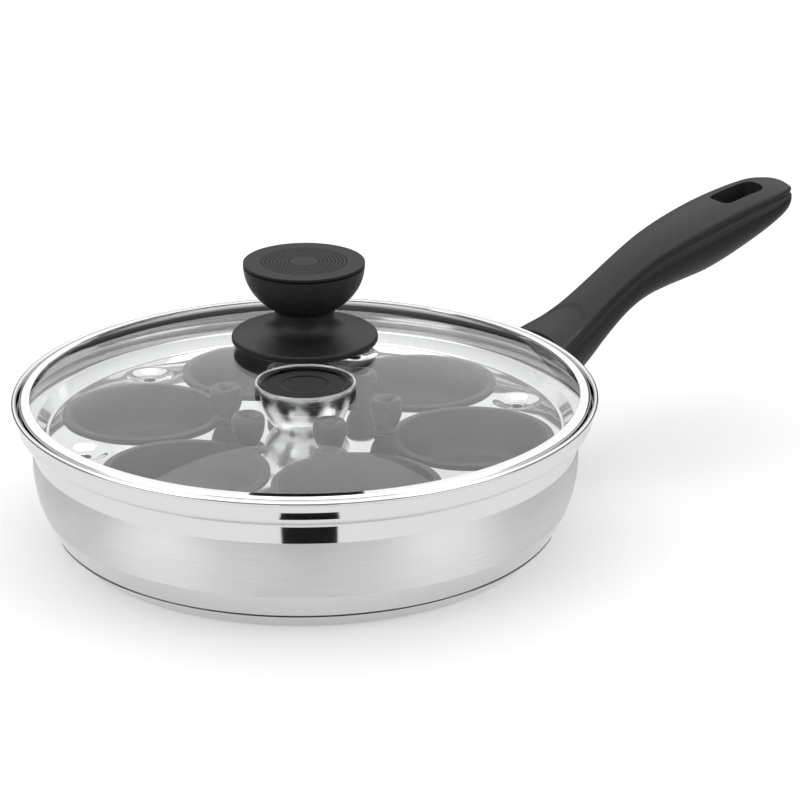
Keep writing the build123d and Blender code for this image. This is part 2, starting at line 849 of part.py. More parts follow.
with BuildPart() as knob_screw:
    with BuildSketch(Plane.XY.offset(washer_low)):
        Circle(knob_screw_head_radius)
    extrude(amount=-knob_screw_head_height)
    fillet(knob_screw.edges().group_by(Axis.Z)[0], radius=knob_screw_head_height / 3)
    with BuildSketch(Plane.XY.offset(washer_low)):
        Circle(knob_screw_radius)
    extrude(amount=flange_under - washer_low + sleeve_height - slip_gap)
    with BuildSketch(Plane.XY.offset(washer_low - knob_screw_head_height)):
        recess(knob_screw_head_radius)
    extrude(amount=knob_screw_head_height * recess_depth_share, mode=Mode.SUBTRACT)
finish(knob_screw, "knob_screw")
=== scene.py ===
import math

import bmesh
import bpy
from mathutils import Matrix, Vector, geometry


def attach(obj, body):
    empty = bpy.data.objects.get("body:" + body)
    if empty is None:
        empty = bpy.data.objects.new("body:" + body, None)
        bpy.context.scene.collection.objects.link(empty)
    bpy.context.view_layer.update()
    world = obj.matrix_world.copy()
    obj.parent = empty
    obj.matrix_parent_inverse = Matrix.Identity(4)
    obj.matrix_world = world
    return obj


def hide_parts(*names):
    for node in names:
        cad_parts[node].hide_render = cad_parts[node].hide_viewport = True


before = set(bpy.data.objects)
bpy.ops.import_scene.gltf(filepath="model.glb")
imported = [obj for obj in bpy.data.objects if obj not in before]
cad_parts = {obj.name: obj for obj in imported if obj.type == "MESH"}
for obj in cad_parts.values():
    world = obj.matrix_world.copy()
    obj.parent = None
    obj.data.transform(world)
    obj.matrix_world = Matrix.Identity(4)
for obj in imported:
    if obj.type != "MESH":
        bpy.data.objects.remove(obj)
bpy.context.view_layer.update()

# Studio: the camera looks down on the pan by 21 degrees. The table top is white, and round
# it stands a pale tent with a tall soft box on each side and one overhead.
mm = 0.001
camera_place = (-0.7348, -1.1731, 0.5930)
camera_tilt = 69.24
camera_turn = -34.0
camera_lens = 134.2
sensor_width = 36.0

bpy.context.scene.view_settings.view_transform = "Standard"
camera = bpy.data.objects.new("camera", bpy.data.cameras.new("camera"))
bpy.context.scene.collection.objects.link(camera)
camera.location = camera_place
camera.rotation_euler = (math.radians(camera_tilt), 0, math.radians(camera_turn))
camera.data.lens = camera_lens
camera.data.sensor_width = sensor_width
bpy.context.scene.camera = camera


def node(tree, kind, inputs=None, **settings):
    """A shader node with its settings, and its inputs given as values or as other nodes' outputs."""
    made = tree.nodes.new("ShaderNode" + kind)
    for key, value in settings.items():
        setattr(made, key, value)
    for key, value in (inputs or {}).items():
        if isinstance(value, bpy.types.NodeSocket):
            tree.links.new(value, made.inputs[key])
        else:
            made.inputs[key].default_value = value
    return made


def sums(tree, operation, first, second=0.0, third=0.0):
    """The output of a Math node."""
    made = node(tree, "Math", {0: first, 1: second, 2: third}, operation=operation)
    return made.outputs[0]


def ramp(tree, value, stops):
    """A grey ramp through (place, brightness) stops."""
    made = node(tree, "ValToRGB", {0: value})
    bars = made.color_ramp.elements
    while len(bars) < len(stops):
        bars.new(0.5)
    for bar, (place, grey) in zip(bars, stops):
        bar.position = place
        bar.color = (grey, grey, grey, 1)
    return made.outputs[0]


# The tent's brightness by the angle round (0 in front of the pan, 1 behind it), and by height:
# dark at the level of the table, and one even light overhead
tent_round = [
    (0.0, 0.14),
    (0.20, 0.20),
    (0.27, 0.95),
    (0.42, 0.95),
    (0.50, 0.22),
    (0.62, 0.22),
    (0.80, 0.50),
    (1.0, 0.42),
]
tent_height = [(0.0, 0.0), (0.50, 0.0), (0.72, 1.0), (1.0, 1.0)]
tent_foot = [(0.0, 0.04), (0.16, 0.06), (0.30, 1.0), (1.0, 1.0)]
tent_level = 2.7
top_level = 1.9
plain_level = 0.45

world = bpy.data.worlds.new("studio")
bpy.context.scene.world = world
world.use_nodes = True
tree = world.node_tree
tree.nodes.clear()
way = node(tree, "TexCoord").outputs["Generated"]
back_turn = -math.radians(camera_turn)
turned = node(tree, "VectorRotate", {"Vector": way, "Angle": back_turn}, rotation_type="Z_AXIS")
split = node(tree, "SeparateXYZ", {0: turned.outputs[0]})
around = sums(tree, "ARCTAN2", split.outputs[0], sums(tree, "MULTIPLY", split.outputs[1], -1.0))
around = sums(tree, "DIVIDE", sums(tree, "ABSOLUTE", around), math.pi)
side = sums(tree, "MULTIPLY", ramp(tree, around, tent_round), tent_level)
share = ramp(tree, split.outputs[2], tent_height)
tent = node(tree, "Mix", {0: share, 2: side, 3: top_level}, data_type="FLOAT").outputs[0]
tent = sums(tree, "MULTIPLY", tent, ramp(tree, split.outputs[2], tent_foot))
light_path = node(tree, "LightPath")
seen = sums(tree, "MAXIMUM", light_path.outputs["Is Camera Ray"], light_path.outputs["Is Transmission Ray"])
glossy = light_path.outputs["Is Glossy Ray"]
level = node(tree, "Mix", {0: glossy, 2: plain_level, 3: tent}, data_type="FLOAT")
level = node(tree, "Mix", {0: seen, 2: level.outputs[0], 3: 1.0}, data_type="FLOAT")
sky = node(tree, "Background", {"Color": (1, 1, 1, 1), "Strength": level.outputs[0]})
out = node(tree, "OutputWorld", {0: sky.outputs[0]})

# The table top: white, with a little light of its own. What the steel shows of it is darker
# far away, and for the camera it pales towards its edge.
table_radius = 3.0
table_drop = 0.0002
table_white = 0.8
table_glow = 0.30
table_fade = [(0.0, 1.0), (0.14, 1.0), (0.20, 0.5), (0.28, 0.08), (1.0, 0.04)]
table_haze = [(0.0, 0.0), (0.05, 0.02), (0.14, 0.13), (0.30, 0.2), (1.0, 0.2)]

table_mesh = bpy.data.meshes.new("table")
corners = [(-1, -1), (1, -1), (1, 1), (-1, 1)]
table_corners = [(x * table_radius, y * table_radius, -table_drop) for x, y in corners]
table_mesh.from_pydata(table_corners, [], [(0, 1, 2, 3)])
table = bpy.data.objects.new("table", table_mesh)
bpy.context.scene.collection.objects.link(table)
table_paint = bpy.data.materials.new("table_paint")
table_paint.use_nodes = True
tree = table_paint.node_tree
tree.nodes.clear()
place = node(tree, "TexCoord").outputs["Object"]
reach = node(tree, "VectorMath", {0: place}, operation="LENGTH").outputs["Value"]
away = sums(tree, "DIVIDE", reach, table_radius)
fade = ramp(tree, away, table_fade)
light_path = node(tree, "LightPath")
glossy = light_path.outputs["Is Glossy Ray"]
dim = node(tree, "Mix", {0: glossy, 2: 1.0, 3: fade}, data_type="FLOAT").outputs[0]
seen = sums(tree, "MAXIMUM", light_path.outputs["Is Camera Ray"], light_path.outputs["Is Transmission Ray"])
glow = sums(tree, "MULTIPLY", sums(tree, "MULTIPLY", sums(tree, "MAXIMUM", seen, glossy), dim), table_glow)
glow = sums(tree, "MULTIPLY_ADD", light_path.outputs["Is Camera Ray"], ramp(tree, away, table_haze), glow)
white = sums(tree, "MULTIPLY", dim, table_white)
grey = node(tree, "CombineColor", {0: white, 1: white, 2: white}).outputs[0]
paint = node(tree, "BsdfDiffuse", {"Color": grey})
shine = node(tree, "Emission", {"Color": (1, 1, 1, 1), "Strength": glow})
both = node(tree, "AddShader", {0: paint.outputs[0], 1: shine.outputs[0]})
node(tree, "OutputMaterial", {0: both.outputs[0]})
table_mesh.materials.append(table_paint)

# The black card lies in front of the pan, and shows only in its polished steel
card_corners = [(-0.156, -0.186), (-0.094, -0.222), (-0.121, -0.284), (-0.196, -0.238)]
card_lift = 0.0004
card_mesh = bpy.data.meshes.new("card")
card_mesh.from_pydata([(x, y, card_lift) for x, y in card_corners], [], [(0, 1, 2, 3)])
card = bpy.data.objects.new("card", card_mesh)
bpy.context.scene.collection.objects.link(card)
card.visible_camera = False
card.visible_diffuse = False
card.visible_shadow = False
card_paint = bpy.data.materials.new("card_paint")
card_paint.use_nodes = True
card_skin = card_paint.node_tree.nodes["Principled BSDF"]
card_skin.inputs["Base Color"].default_value = (0.01, 0.01, 0.01, 1)
card_skin.inputs["Specular IOR Level"].default_value = 0.0
card_mesh.materials.append(card_paint)

# Lamps: one large overhead, one each side; their shine is left to the tent
lamps = [
    ("overhead", (0.0, 0.15, 1.30), (0, 0, 0.05), 1.4, 7.0),
    ("left", (-1.20, -0.10, 0.70), (0, 0, 0.05), 0.9, 3.0),
    ("right", (0.75, -1.05, 0.75), (0, 0, 0.05), 0.9, 3.0),
]
for name, place, aim, size, power in lamps:
    lamp = bpy.data.lights.new(name, "AREA")
    lamp.shape = "DISK"
    lamp.size = size
    lamp.energy = power
    held = bpy.data.objects.new(name, lamp)
    bpy.context.scene.collection.objects.link(held)
    held.location = place
    held.rotation_euler = (Vector(aim) - Vector(place)).to_track_quat("-Z", "Y").to_euler()
    held.visible_glossy = False

# Pan body: stainless sheet spun to shape, with a stepped lip and a rolled bead. Polished
# above and below, with a band of horizontal satin grain between, and a fine groove just
# above the edge of the base cap.
rim_radius = 145.0
rim_height = 74.0
pan_sheet = 0.8
bead_radius = 1.3
lip_radius = 142.6
flare_height = 68.0
shelf_rise = 3.5
shelf_width = 7.6
neck_radius = 135.0
neck_height = 59.0
belly_radius = 135.6
belly_height = 42.0
seam_radius = 125.0
seam_height = 8.2
floor_radius = 114.0
floor_height = 6.0
satin_top = 49.7
satin_bottom = 21.0
seam_gap = 0.6
seam_sink = 0.5
seam_edge = 0.1
seam_near = 0.01
shelf_slope = shelf_rise / shelf_width
shelf_cos = math.cos(math.atan(shelf_slope))


def shelf_line(radius, away):
    """Height at a radius of the line parallel to the pan's shelf, a distance above it."""
    return neck_height + (radius - neck_radius) * shelf_slope + away / shelf_cos


def on_circle(middle, radius, turns):
    """Points of a circle at these angles."""
    return [(middle[0] + radius * math.cos(t), middle[1] + radius * math.sin(t)) for t in turns]


def arc_to(start, heading, end, steps):
    """Points along the arc that leaves start in a heading and passes through end, without the start."""
    sx, sz = start
    hx, hz = heading
    dx, dz = end[0] - sx, end[1] - sz
    nx, nz = -hz, hx
    bend = (dx * dx + dz * dz) / (2 * (dx * nx + dz * nz))
    cx, cz = sx + nx * bend, sz + nz * bend
    first = math.atan2(sz - cz, sx - cx)
    last = math.atan2(end[1] - cz, end[0] - cx)
    swing = (last - first + math.pi) % (2 * math.pi) - math.pi
    turns = [first + swing * (n + 1) / steps for n in range(steps)]
    return on_circle((cx, cz), abs(bend), turns)


def rounded(points, steps=6):
    """A run of straight lines through (radius, height, rounding) points, with its corners rounded."""
    made = [tuple(points[0][:2])]
    for before, here, after in zip(points, points[1:], points[2:]):
        corner = Vector(here[:2])
        if here[2] == 0:
            made.append(tuple(corner))
            continue
        back = (Vector(before[:2]) - corner).normalized()
        ahead = (Vector(after[:2]) - corner).normalized()
        half = math.acos(max(-1, min(1, back.dot(ahead)))) / 2
        start = corner + back * here[2] / math.tan(half)
        end = corner + ahead * here[2] / math.tan(half)
        made.append(tuple(start))
        made += arc_to(start, tuple(-back), end, steps)
    made.append(tuple(points[-1][:2]))
    return made


def spun(name, outline, materials, finish=None, around=288, closed=True, middle=(0, 0), crease=35):
    """A turned piece: its outline of (radius, height) points goes round an upright axis."""
    verts, rings, faces, layout, slots = [], [], [], [], []
    lengths = [0.0]
    for a, b in zip(outline, outline[1:] + outline[:1]):
        lengths.append(lengths[-1] + math.dist(a, b))
    for radius, height in outline:
        if radius < 1e-6:
            rings.append([len(verts)] * around)
            verts.append((middle[0] * mm, middle[1] * mm, height * mm))
        else:
            rings.append(list(range(len(verts), len(verts) + around)))
            for n in range(around):
                turn = 2 * math.pi * n / around
                spot = (middle[0] + radius * math.cos(turn), middle[1] + radius * math.sin(turn), height)
                verts.append([v * mm for v in spot])
    reach = max(r for r, z in outline) * mm * 2 * math.pi / around
    for i in range(len(outline) if closed else len(outline) - 1):
        low, high = rings[i], rings[(i + 1) % len(rings)]
        if low[0] == low[1] and high[0] == high[1]:
            continue
        slot = finish(i) if finish else 0
        v0, v1 = lengths[i] * mm, lengths[i + 1] * mm
        for n in range(around):
            m = (n + 1) % around
            ring = [(low[n], n, v0), (low[m], n + 1, v0), (high[m], n + 1, v1), (high[n], n, v1)]
            corners = []
            for vert, u, v in ring:
                if vert not in [c[0] for c in corners]:
                    corners.append((vert, u, v))
            faces.append([c[0] for c in corners])
            layout += [(c[1] * reach, c[2]) for c in corners]
            slots.append(slot)
    mesh = bpy.data.meshes.new(name)
    mesh.from_pydata(verts, [], faces)
    mesh.uv_layers.new(name="Lay")
    mesh.uv_layers["Lay"].data.foreach_set("uv", [c for pair in layout for c in pair])
    for material in materials:
        mesh.materials.append(material)
    mesh.polygons.foreach_set("material_index", slots)
    return settle(name, mesh, crease)


def settle(name, mesh, crease=35):
    """Turn a mesh's faces outwards, shade it smooth up to its creases, and put it in the scene."""
    work = bmesh.new()
    work.from_mesh(mesh)
    bmesh.ops.recalc_face_normals(work, faces=work.faces)
    work.to_mesh(mesh)
    work.free()
    mesh.shade_smooth()
    mesh.set_sharp_from_angle(angle=math.radians(crease))
    piece = bpy.data.objects.new(name, mesh)
    bpy.context.scene.collection.objects.link(piece)
    return piece


def blank(name, metallic, shine=0.5):
    """A new material with its node tree, its Principled node and the object's own coordinates."""
    made = bpy.data.materials.new(name)
    made.use_nodes = True
    tree = made.node_tree
    skin = tree.nodes["Principled BSDF"]
    skin.inputs["Metallic"].default_value = metallic
    skin.inputs["Specular IOR Level"].default_value = shine
    return made, tree, skin, node(tree, "TexCoord").outputs["Object"]


def noise(tree, where, scale, detail, roughness=0.5):
    """The output of a noise texture."""
    made = node(tree, "TexNoise", {"Vector": where, "Scale": scale, "Detail": detail, "Roughness": roughness})
    return made.outputs[0]


def dress(tree, skin, tones, blur, height, depth):
    """Give a Principled node a colour from (share, first tone, second tone), a blur and a relief."""
    share, tone, other = tones
    colour = node(tree, "Mix", {0: share, 6: (*tone, 1), 7: (*other, 1)}, data_type="RGBA")
    bump = node(tree, "Bump", {"Height": height, "Distance": depth, "Strength": 1.0})
    tree.links.new(colour.outputs[2], skin.inputs["Base Color"])
    tree.links.new(blur, skin.inputs["Roughness"])
    tree.links.new(bump.outputs[0], skin.inputs["Normal"])


def stainless(name, tone, roughness, stretch, grain, depth, lay=(60.0, 3000.0)):
    """Stainless steel: fine lines along the way it was turned, and a faint cloudiness in its shine."""
    made, tree, steel, solid = blank(name, 1.0)
    spread = node(tree, "UVMap", uv_map="Lay").outputs[0]
    drawn = node(tree, "Mapping", {"Vector": spread, "Scale": (lay[0], lay[1], 1)})
    lines = noise(tree, drawn.outputs[0], 1.0, 4.0, 0.6)
    cloud = noise(tree, solid, 55.0, 3.0)
    blur = sums(tree, "MULTIPLY_ADD", cloud, roughness * 0.35, roughness * 0.82)
    blur = sums(tree, "SUBTRACT", blur, roughness * 0.15)
    blur = sums(tree, "MULTIPLY_ADD", lines, roughness * 0.3, blur)
    dress(tree, steel, (lines, [c * (1 - grain) for c in tone], tone), blur, lines, depth)
    if stretch:
        steel.inputs["Anisotropic"].default_value = stretch
        steel.inputs["Anisotropic Rotation"].default_value = 0.25
        tangent = node(tree, "Tangent", direction_type="RADIAL", axis="Z")
        tree.links.new(tangent.outputs[0], steel.inputs["Tangent"])
    return made


steel_tone = (0.72, 0.72, 0.725)
polished = stainless("polished_steel", steel_tone, 0.07, 0.0, 0.03, 0.000001)
satin = stainless("satin_steel", (0.90, 0.90, 0.905), 0.50, 0.9, 0.22, 0.000012, lay=(25.0, 1300.0))
inside_steel = stainless("inside_steel", steel_tone, 0.28, 0.6, 0.10, 0.000008)


def pan_line(inset):
    """The pan's outline from the middle of its floor to the foot of its bead, moved in by inset."""
    foot = (seam_radius - inset, seam_height + inset / 2)
    belly = (belly_radius - inset, belly_height)
    floor_end = (floor_radius, floor_height + inset)
    line = [(0, floor_height + inset), (floor_radius / 2, floor_height + inset), floor_end]
    line += arc_to(floor_end, (1, 0), foot, 8)
    side = arc_to(belly, (0, -1), foot, 40)[:-1][::-1]
    line += side
    neck = neck_radius - inset
    lip = lip_radius - inset
    line += rounded(
        [
            (*belly, 0),
            (neck, shelf_line(neck, inset), 2.0 + inset),
            (lip, shelf_line(lip, inset), 3.6 - inset),
            (lip, flare_height, 2.5 + inset),
            (rim_radius - bead_radius - inset / 2, rim_height - bead_radius, 0),
        ]
    )
    return line


def with_heights(line, heights):
    """The same line with a point added at each of these heights, where the line rises through it."""
    made = [line[0]]
    for a, b in zip(line, line[1:]):
        for height in sorted(heights):
            if a[1] < height < b[1]:
                part = (height - a[1]) / (b[1] - a[1])
                made.append((a[0] + (b[0] - a[0]) * part, height))
        made.append(b)
    return made


seam_top = seam_height + seam_gap
pan_outside = with_heights(pan_line(0), (seam_top, seam_top + seam_edge, satin_bottom, satin_top))
seam_low, seam_high = seam_height - seam_near, seam_top + seam_near
pan_outside = [(r - seam_sink if seam_low < z < seam_high else r, z) for r, z in pan_outside]
bead_turns = [math.radians(-100 + 12.5 * n) for n in range(21)]
bead_middle = (rim_radius - bead_radius, rim_height - bead_radius)
bead = on_circle(bead_middle, bead_radius, bead_turns)
pan_inside = pan_line(pan_sheet)[::-1]
pan_outline = pan_outside[:-1] + bead + pan_inside[1:]
bead_last = len(pan_outside) + len(bead) - 2


def pan_finish(i):
    """0 polished, 1 satin, 2 inside."""
    if i > bead_last:
        return 2
    middle = (pan_outline[i][1] + pan_outline[i + 1][1]) / 2
    return 1 if satin_bottom < middle < satin_top and i < len(pan_outside) else 0


pan = spun("pan_wall", pan_outline, [polished, satin, inside_steel], pan_finish, around=384, closed=False)
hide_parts("pan_body")
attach(pan, "pan")

# Heat disc and base cap: an aluminium plate under the floor, and a pressed steel cap closed
# over it. The fine dark line above the foot is the cap's edge against the body.
cap_sheet = 0.6
cap_outer = [(0, 0, 0), (60, 0, 0), (117.5, 0, 2.6), (seam_radius + cap_sheet, seam_height, 0)]
cap_inner = [(0, cap_sheet, 0), (60, cap_sheet, 0), (117.2, cap_sheet, 2.0), (seam_radius, seam_height, 0)]
cap_outline = rounded(cap_outer, 8) + rounded(cap_inner, 8)[::-1]
cap_steel = stainless("cap_steel", steel_tone, 0.16, 0.4, 0.05, 0.000003)
cap = spun("base_cap_shell", cap_outline, [cap_steel], around=384, closed=False)
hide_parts("base_cap")
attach(cap, "pan")


def metal(name, tone, roughness, pits, depth):
    """A plain metal part: turned or pressed, with a fine pitted surface."""
    made, tree, skin, solid = blank(name, 1.0)
    fine = noise(tree, solid, pits, 5.0)
    blur = sums(tree, "MULTIPLY_ADD", fine, roughness * 0.5, roughness * 0.75)
    dress(tree, skin, (fine, [c * 0.86 for c in tone], tone), blur, fine, depth)
    return made


def wear(names, material):
    """Give CAD nodes a material of the scene's own."""
    for name in names:
        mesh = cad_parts[name].data
        if not mesh.materials:
            mesh.materials.append(material)
        for i in range(len(mesh.materials)):
            mesh.materials[i] = material


wear(["base_core"], metal("core_aluminium", (0.78, 0.78, 0.79), 0.38, 900.0, 0.00001))

# Bracket and handle screw: a steel plate welded to the wall under the lip, with a tongue
# inside the handle, and the screw that comes up through the underside of the handle.
fastener_steel = metal("fastener_steel", (0.66, 0.66, 0.67), 0.26, 1400.0, 0.000006)
wear(["handle_bracket", "handle_screw"], fastener_steel)

# Handle: one long black moulding with a crowned top, a crease down each side, a step for
# the thumb near the pan and a slot to hang it by. Its skin has a fine spark grain.
handle_root = 132.0
handle_length = 175.7
handle_rise = 57.5
handle_half = 17.4
handle_depth = 29.5
# Along the handle, in shares of its length, its rise, its half width and its depth
handle_rows = [
    (0.000, -0.160, 1.50, 0.945),
    (0.035, -0.097, 1.33, 0.965),
    (0.090, -0.012, 1.14, 0.990),
    (0.150, 0.070, 0.975, 1.005),
    (0.205, 0.165, 0.860, 0.990),
    (0.260, 0.272, 0.802, 0.900),
    (0.320, 0.386, 0.785, 0.805),
    (0.375, 0.486, 0.800, 0.763),
    (0.435, 0.584, 0.840, 0.790),
    (0.500, 0.670, 0.910, 0.858),
    (0.570, 0.745, 0.968, 0.930),
    (0.645, 0.814, 1.002, 0.985),
    (0.715, 0.870, 1.010, 0.965),
    (0.790, 0.918, 1.000, 0.885),
    (0.865, 0.957, 0.968, 0.765),
    (0.915, 0.978, 0.905, 0.661),
    (0.950, 0.984, 0.790, 0.575),
    (0.975, 0.980, 0.630, 0.490),
    (0.991, 0.965, 0.440, 0.385),
    (1.000, 0.950, 0.180, 0.280),
]
# Half the section from the middle of the top, round the crease and down to the middle below:
# shares of the half width and the depth, then millimetres outwards and upwards
handle_section = [
    (0.00, 0.00, 0, 3.0),
    (0.28, 0.00, 0, 2.75),
    (0.55, 0.00, 0, 2.0),
    (0.80, 0.00, 0, 0.95),
    (0.94, 0.00, 0, 0.25),
    (1.00, 0.00, 0, -0.9),
    (1.00, 0.00, -0.35, -2.1),
    (0.995, -0.06, -0.55, -2.4),
    (1.02, -0.16, 0, -1.8),
    (1.07, -0.34, 0, 0),
    (1.045, -0.56, 0, 0),
    (0.90, -0.75, 0, 0),
    (0.64, -0.90, 0, 0),
    (0.32, -0.985, 0, 0),
    (0.00, -1.00, 0, 0),
]
step_middle = 148.7
step_radius = 19.3
step_depth = 0.8
step_width = 1.6
slot_middle = 274.4
slot_length = 28.0
slot_width = 16.5
slot_round = 5.0
slot_lip = 0.7
small_half = 9.0


def through(rows, share):
    """A smooth curve through rows of numbers, read at a share of its first number."""
    last = len(rows) - 2
    i = max(k for k in range(last + 1) if rows[k][0] <= share or k == 0)
    a, b = rows[i], rows[i + 1]
    before = rows[max(i - 1, 0)]
    after = rows[min(i + 2, last + 1)]
    span = b[0] - a[0]
    t = (share - a[0]) / span
    made = []
    for k in range(1, len(a)):
        rise_a = (b[k] - before[k]) / (b[0] - before[0]) * span
        rise_b = (after[k] - a[k]) / (after[0] - a[0]) * span
        made.append(
            (2 * t**3 - 3 * t**2 + 1) * a[k]
            + (t**3 - 2 * t**2 + t) * rise_a
            + (3 * t**2 - 2 * t**3) * b[k]
            + (t**3 - t**2) * rise_b
        )
    return made


def handle_ring(share, section):
    """One closed section of the handle at a share of its length."""
    lift, width, deep = through(handle_rows, share)
    crest = rim_height + lift * handle_rise
    half, depth = width * handle_half, deep * handle_depth
    fit = min(1.0, half / small_half)
    x = handle_root + share * handle_length
    ring = []
    for out_share, down_share, out, up in section:
        y = half * out_share + out * fit
        z = crest + depth * down_share + up * fit * (width if up > 0 else 1.0)
        if down_share == 0:
            away = math.hypot(x - step_middle, y)
            part = max(0.0, min(1.0, (away - step_radius) / step_width + 0.5))
            fall = step_depth * (1 - part * part * (3 - 2 * part))
            z -= fall * max(0.0, min(1.0, (0.97 - out_share) / 0.12))
        ring.append((x, y, z))
    return ring


half_rows = [(i, *row) for i, row in enumerate(handle_section)]
half_steps = 6
smooth_half = [through(half_rows, n / half_steps) for n in range(half_steps * (len(half_rows) - 1) + 1)]
even_count = 150
tip_count = 40
tip_share = 0.1
stations = [n / even_count * (1 - tip_share) for n in range(even_count)]
tip_turns = [math.pi / 2 * n / tip_count for n in range(tip_count + 1)]
stations += [1 - tip_share + tip_share * math.sin(t) for t in tip_turns]
handle_verts = []
for share_along in stations:
    right = handle_ring(share_along, smooth_half)
    whole = right + [(x, -y, z) for x, y, z in right[-2:0:-1]]
    handle_verts += [[v * mm for v in spot] for spot in whole]
ring_count = len(whole)


def quads(first, rings, around):
    """Four-sided faces between rings of points that follow each other, around points to a ring."""
    faces = []
    for i in range(rings - 1):
        for n in range(around):
            a, b = first + i * around + n, first + i * around + (n + 1) % around
            faces.append((a, b, b + around, a + around))
    return faces


handle_faces = quads(0, len(stations), ring_count)
handle_faces.append(tuple(range(ring_count)))
handle_faces.append(tuple(range((len(stations) - 1) * ring_count, len(stations) * ring_count))[::-1])
handle_mesh = bpy.data.meshes.new("handle_moulding")
handle_mesh.from_pydata(handle_verts, [], handle_faces)
handle = settle("handle_moulding", handle_mesh, 40)


def prism(outline, low, high):
    """An upright block over a flat outline of (x, y) points, to cut with."""
    count = len(outline)
    verts = [(x * mm, y * mm, z * mm) for z in (low, high) for x, y in outline]
    faces = [tuple(range(count))[::-1], tuple(range(count, 2 * count))]
    faces += [(n, (n + 1) % count, count + (n + 1) % count, count + n) for n in range(count)]
    mesh = bpy.data.meshes.new("cutter")
    mesh.from_pydata(verts, [], faces)
    return settle("cutter", mesh)


def cut_away(piece, cutters):
    """Cut blocks out of a piece, then throw the blocks away."""
    for cutter in cutters:
        cut = piece.modifiers.new("cut", "BOOLEAN")
        cut.operation = "DIFFERENCE"
        cut.solver = "EXACT"
        cut.object = cutter
    whole = bpy.data.meshes.new_from_object(piece.evaluated_get(bpy.context.evaluated_depsgraph_get()))
    piece.modifiers.clear()
    piece.data = whole
    for cutter in cutters:
        bpy.data.objects.remove(cutter)


slot_outline = []
for sx, sy, first in [(1, 1, 0), (-1, 1, 90), (-1, -1, 180), (1, -1, 270)]:
    corner = (slot_middle + sx * (slot_length / 2 - slot_round), sy * (slot_width / 2 - slot_round))
    slot_outline += on_circle(corner, slot_round, [math.radians(first + 11.25 * n) for n in range(9)])
bracket_plate = 2.0
wall_fit = 0.25
rim_fit = 0.6
cut_drop = 0.5
cut_low = 20
cut_high = 150
cut_radius = belly_radius + bracket_plate + wall_fit
rim_cut = rim_radius + rim_fit
cut_height = neck_height - cut_drop
wall_cut = [(0, cut_low), (cut_radius, cut_low), (cut_radius, cut_height)]
wall_cut += [(rim_cut, cut_height), (rim_cut, cut_high), (0, cut_high)]
cut_away(
    handle,
    [
        prism(slot_outline, 60, 180),
        spun("cutter", wall_cut, [], around=288, closed=False),
    ],
)
work = bmesh.new()
work.from_mesh(handle.data)
bmesh.ops.remove_doubles(work, verts=work.verts, dist=0.00002)
lips = []
for edge in work.edges:
    if len(edge.link_faces) != 2 or edge.calc_face_angle(0) < math.radians(50):
        continue
    middle = (edge.verts[0].co + edge.verts[1].co) / 2 / mm
    if abs(middle.x - slot_middle) < slot_length / 2 + 0.2 and abs(middle.y) < slot_width / 2 + 0.2:
        lips.append(edge)
bmesh.ops.bevel(
    work,
    geom=lips,
    offset=slot_lip * mm,
    segments=3,
    profile=0.5,
    affect="EDGES",
    clamp_overlap=True,
)
work.to_mesh(handle.data)
work.free()
handle.data.shade_smooth()
handle.data.set_sharp_from_angle(angle=math.radians(40))


def moulding(name, tone, roughness, grain_size, depth, specks, shine=0.5):
    """Black phenolic moulding: a spark-eroded grain with a soft sheen, and faint paler specks."""
    made, tree, skin, solid = blank(name, 0.0, shine)
    grain = noise(tree, solid, grain_size, 3.0, 0.55)
    cells = node(tree, "TexVoronoi", {"Vector": solid, "Scale": grain_size * 1.3}, feature="SMOOTH_F1")
    broad = noise(tree, solid, 30.0, 2.0)
    height = sums(tree, "ADD", grain, sums(tree, "MULTIPLY", cells.outputs[0], 0.6))
    pale = ramp(tree, grain, [(0.0, 0.0), (0.56, 0.0), (0.72, 1.0), (1.0, 1.0)])
    blur = sums(tree, "MULTIPLY_ADD", grain, 0.16, roughness - 0.10)
    blur = sums(tree, "MULTIPLY_ADD", broad, 0.06, blur)
    dress(tree, skin, (pale, tone, [c + specks for c in tone]), blur, height, depth)
    return made


handle_black = moulding("handle_black", (0.012, 0.012, 0.013), 0.46, 1700.0, 0.00006, 0.026, 0.27)
handle.data.materials.clear()
handle.data.materials.append(handle_black)
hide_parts("handle_grip")
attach(handle, "pan")

# Egg tray: one pressing of thinner stainless sheet, stepped to lie on the shelf inside the
# pan's lip, with a rolled bead round its edge. Six round holes carry the cups, and six
# dimples between them let the steam through.
tray_top = 53.8
tray_under = 53.1
tray_sheet = 0.7
tray_flat = 126.2
tray_step = 133.0
tray_wall = 140.75
tray_bead_height = 66.65
tray_bead_radius = 0.9
tray_seat = 1.1
cup_count = 6
cup_spacing = 360 / cup_count
cup_turn = 14.3
cup_ring = 83.6
cup_hole = 38.5
vent_ring = 111.7
vent_hole = 3.0
# How far the sheet falls round a vent, by the distance from its middle
vent_rings = [
    (12.9, 0.0),
    (12.3, 0.05),
    (11.3, 0.3),
    (9.8, 0.95),
    (8.2, 1.7),
    (6.9, 2.2),
    (5.7, 2.5),
    (4.6, 2.6),
    (3.3, 2.6),
    (3.0, 2.75),
]


def circle(middle, radius, count):
    """Points round a circle."""
    return on_circle(middle, radius, [2 * math.pi * n / count for n in range(count)])


def sheet_between(loops, holes):
    """Fill a flat sheet between closed loops of points, leaving out what lies in the holes."""
    points, edges = [], []
    for loop in loops:
        first = len(points)
        points += [Vector(p) for p in loop]
        edges += [(first + n, first + (n + 1) % len(loop)) for n in range(len(loop))]
    spots, _, faces, _, _, _ = geometry.delaunay_2d_cdt(points, edges, [], 0, 1e-5)
    kept = []
    for face in faces:
        middle = sum((spots[i] for i in face), Vector((0, 0))) / len(face)
        if all((middle - Vector(place)).length > radius for place, radius in holes):
            kept.append(tuple(face))
    return spots, kept


